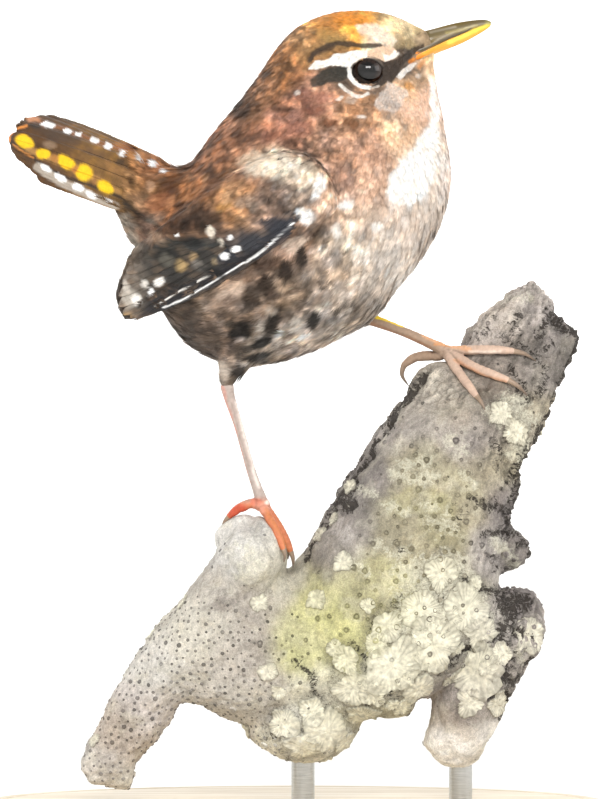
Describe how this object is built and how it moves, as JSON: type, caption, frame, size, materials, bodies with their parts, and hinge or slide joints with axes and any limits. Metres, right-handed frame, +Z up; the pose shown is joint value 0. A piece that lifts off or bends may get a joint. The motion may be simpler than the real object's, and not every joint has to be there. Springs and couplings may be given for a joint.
{
  "type": "wren figure on a perch",
  "caption": "Life-size museum-style model of a small brown songbird with a cocked tail, standing on a cut length of lichened, forked branch held by a plain display stand.",
  "frame": {"origin": "centre of the stand base's underside, on the floor", "axes": "+Z up; +X the way the bird faces, along the long axis of the stand base; +Y towards the bird's left side; its right side faces -Y"},
  "size_m": [0.108, 0.066, 0.1418],
  "materials": {
    "plumage_crown": "short soft feathers, golden ochre to rufous",
    "plumage_cheek": "soft mottled feathers, reddish brown",
    "plumage_flank": "soft feathers, buff grey with dark bars",
    "plumage_rump": "soft feathers, rufous brown",
    "tail_feathers": "barred vanes, matte",
    "wing_feathers": "barred vanes, matte",
    "bill_horn": "satin horn",
    "bill_yellow": "satin horn",
    "eye": "wet gloss",
    "leg_skin": "scaled skin",
    "lichened_wood": "rough, weathered, crusted with lichen",
    "stand_wood": "pale limed maple, satin",
    "stand_steel": "brushed"
  },
  "bodies": {
    "root": {"head": "plumage_crown", "neck": "plumage_cheek", "trunk": "plumage_flank", "rump": "plumage_rump", "tail": "tail_feathers", "bill_upper": "bill_horn", "bill_lower": "bill_yellow", "eye_right": "eye", "eye_left": "eye", "wing_right": "wing_feathers", "wing_left": "wing_feathers", "thigh_right": "plumage_flank", "thigh_left": "plumage_flank", "leg_right": "leg_skin", "leg_left": "leg_skin", "foot_right": "leg_skin", "foot_left": "leg_skin", "perch": "lichened_wood", "stand_base": "stand_wood", "stand_rod_1": "stand_steel", "stand_rod_2": "stand_steel"}
  },
  "joints": []
}
